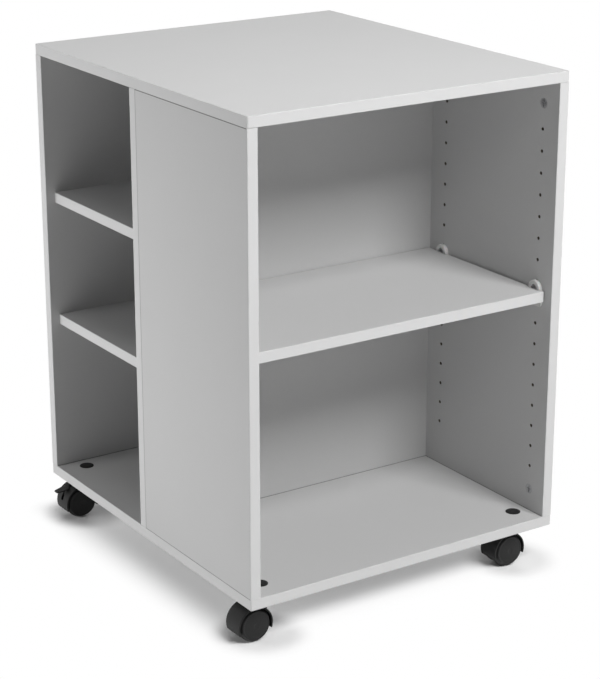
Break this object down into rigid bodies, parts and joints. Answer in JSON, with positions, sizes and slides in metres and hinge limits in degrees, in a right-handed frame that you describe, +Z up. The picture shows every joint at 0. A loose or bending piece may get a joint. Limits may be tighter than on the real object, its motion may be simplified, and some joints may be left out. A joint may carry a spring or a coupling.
{
  "type": "utility cart",
  "caption": "Light grey rolling office cart: front bay with an adjustable shelf, open side bays for files, and swivel castors, some with a foot brake.",
  "frame": {"origin": "on the floor below the middle of the carcass", "axes": "+Z up, the front bay faces -Y, the side bays open towards -X"},
  "size_m": [0.5445, 0.592, 0.748],
  "materials": {
    "board": "chipboard with a light grey melamine facing, satin",
    "edge_band": "light grey plastic edge band, satin",
    "clip": "white moulded plastic",
    "castor_plastic": "black moulded plastic, fine grain",
    "wheel_plastic": "black moulded plastic, satin",
    "steel": "zinc plated",
    "zinc": "die-cast zinc",
    "beech": "beech, unfinished"
  },
  "bodies": {
    "carcass": {"top_panel": "board", "bottom_panel": "board", "left_side_panel": "board", "right_side_panel": "board", "divider_panel": "board", "back_panel": "board", "lower_side_shelf": "board", "upper_side_shelf": "board", "top_panel_edging": "edge_band", "bottom_panel_edging": "edge_band", "left_side_front_edging": "edge_band", "right_side_front_edging": "edge_band", "right_side_rear_edging": "edge_band", "divider_edging": "edge_band", "back_panel_edging": "edge_band", "lower_side_shelf_edging": "edge_band", "upper_side_shelf_edging": "edge_band", "front_left_shelf_clip": "clip", "front_right_shelf_clip": "clip", "rear_left_shelf_clip": "clip", "rear_right_shelf_clip": "clip", "cam_locks": "zinc", "cam_bolts": "steel", "dowels": "beech", "castor_caps": "castor_plastic", "front_left_castor_socket": "castor_plastic", "front_right_castor_socket": "castor_plastic", "rear_left_castor_socket": "castor_plastic", "rear_right_castor_socket": "castor_plastic"},
    "front_shelf": {"front_shelf": "board", "front_shelf_edging": "edge_band"},
    "front_left_castor": {"front_left_castor_stem": "steel", "front_left_castor_hood": "castor_plastic", "front_left_castor_axle": "steel"},
    "front_left_castor_front_wheel": {"front_left_castor_front_wheel": "wheel_plastic"},
    "front_left_castor_rear_wheel": {"front_left_castor_rear_wheel": "wheel_plastic"},
    "front_right_castor": {"front_right_castor_stem": "steel", "front_right_castor_hood": "castor_plastic", "front_right_castor_axle": "steel"},
    "front_right_castor_front_wheel": {"front_right_castor_front_wheel": "wheel_plastic"},
    "front_right_castor_rear_wheel": {"front_right_castor_rear_wheel": "wheel_plastic"},
    "rear_left_brake_lever": {"rear_left_brake_lever": "castor_plastic"},
    "rear_left_castor": {"rear_left_castor_stem": "steel", "rear_left_castor_hood": "castor_plastic", "rear_left_castor_axle": "steel", "rear_left_brake_pin": "steel"},
    "rear_left_castor_front_wheel": {"rear_left_castor_front_wheel": "wheel_plastic"},
    "rear_left_castor_rear_wheel": {"rear_left_castor_rear_wheel": "wheel_plastic"},
    "rear_right_brake_lever": {"rear_right_brake_lever": "castor_plastic"},
    "rear_right_castor": {"rear_right_castor_stem": "steel", "rear_right_castor_hood": "castor_plastic", "rear_right_castor_axle": "steel", "rear_right_brake_pin": "steel"},
    "rear_right_castor_front_wheel": {"rear_right_castor_front_wheel": "wheel_plastic"},
    "rear_right_castor_rear_wheel": {"rear_right_castor_rear_wheel": "wheel_plastic"}
  },
  "joints": [
    {"name": "front_shelf_slide", "type": "slide", "parent": "carcass", "child": "front_shelf", "axis": [0, -1, 0], "range_m": [0, 0.21]},
    {"name": "front_left_castor_swivel", "type": "hinge", "parent": "carcass", "child": "front_left_castor", "pos_m": [-0.224, -0.256, 0.062], "axis": [0, 0, 1], "continuous": true},
    {"name": "front_left_castor_front_wheel_spin", "type": "hinge", "parent": "front_left_castor", "child": "front_left_castor_front_wheel", "pos_m": [-0.242, -0.256, 0.025], "axis": [0, 1, 0], "continuous": true},
    {"name": "front_left_castor_rear_wheel_spin", "type": "hinge", "parent": "front_left_castor", "child": "front_left_castor_rear_wheel", "pos_m": [-0.242, -0.256, 0.025], "axis": [0, 1, 0], "continuous": true},
    {"name": "front_right_castor_swivel", "type": "hinge", "parent": "carcass", "child": "front_right_castor", "pos_m": [0.224, -0.256, 0.062], "axis": [0, 0, 1], "continuous": true},
    {"name": "front_right_castor_front_wheel_spin", "type": "hinge", "parent": "front_right_castor", "child": "front_right_castor_front_wheel", "pos_m": [0.206, -0.256, 0.025], "axis": [0, 1, 0], "continuous": true},
    {"name": "front_right_castor_rear_wheel_spin", "type": "hinge", "parent": "front_right_castor", "child": "front_right_castor_rear_wheel", "pos_m": [0.206, -0.256, 0.025], "axis": [0, 1, 0], "continuous": true},
    {"name": "rear_left_castor_swivel", "type": "hinge", "parent": "carcass", "child": "rear_left_castor", "pos_m": [-0.224, 0.256, 0.062], "axis": [0, 0, 1], "continuous": true},
    {"name": "rear_left_castor_front_wheel_spin", "type": "hinge", "parent": "rear_left_castor", "child": "rear_left_castor_front_wheel", "pos_m": [-0.242, 0.256, 0.025], "axis": [0, 1, 0], "continuous": true},
    {"name": "rear_left_castor_rear_wheel_spin", "type": "hinge", "parent": "rear_left_castor", "child": "rear_left_castor_rear_wheel", "pos_m": [-0.242, 0.256, 0.025], "axis": [0, 1, 0], "continuous": true},
    {"name": "rear_left_brake_press", "type": "hinge", "parent": "rear_left_castor", "child": "rear_left_brake_lever", "pos_m": [-0.256, 0.256, 0.037], "axis": [0, -1, 0], "range_deg": [0, 15]},
    {"name": "rear_right_castor_swivel", "type": "hinge", "parent": "carcass", "child": "rear_right_castor", "pos_m": [0.224, 0.256, 0.062], "axis": [0, 0, 1], "continuous": true},
    {"name": "rear_right_castor_front_wheel_spin", "type": "hinge", "parent": "rear_right_castor", "child": "rear_right_castor_front_wheel", "pos_m": [0.206, 0.256, 0.025], "axis": [0, 1, 0], "continuous": true},
    {"name": "rear_right_castor_rear_wheel_spin", "type": "hinge", "parent": "rear_right_castor", "child": "rear_right_castor_rear_wheel", "pos_m": [0.206, 0.256, 0.025], "axis": [0, 1, 0], "continuous": true},
    {"name": "rear_right_brake_press", "type": "hinge", "parent": "rear_right_castor", "child": "rear_right_brake_lever", "pos_m": [0.192, 0.256, 0.037], "axis": [0, -1, 0], "range_deg": [0, 15]}
  ]
}
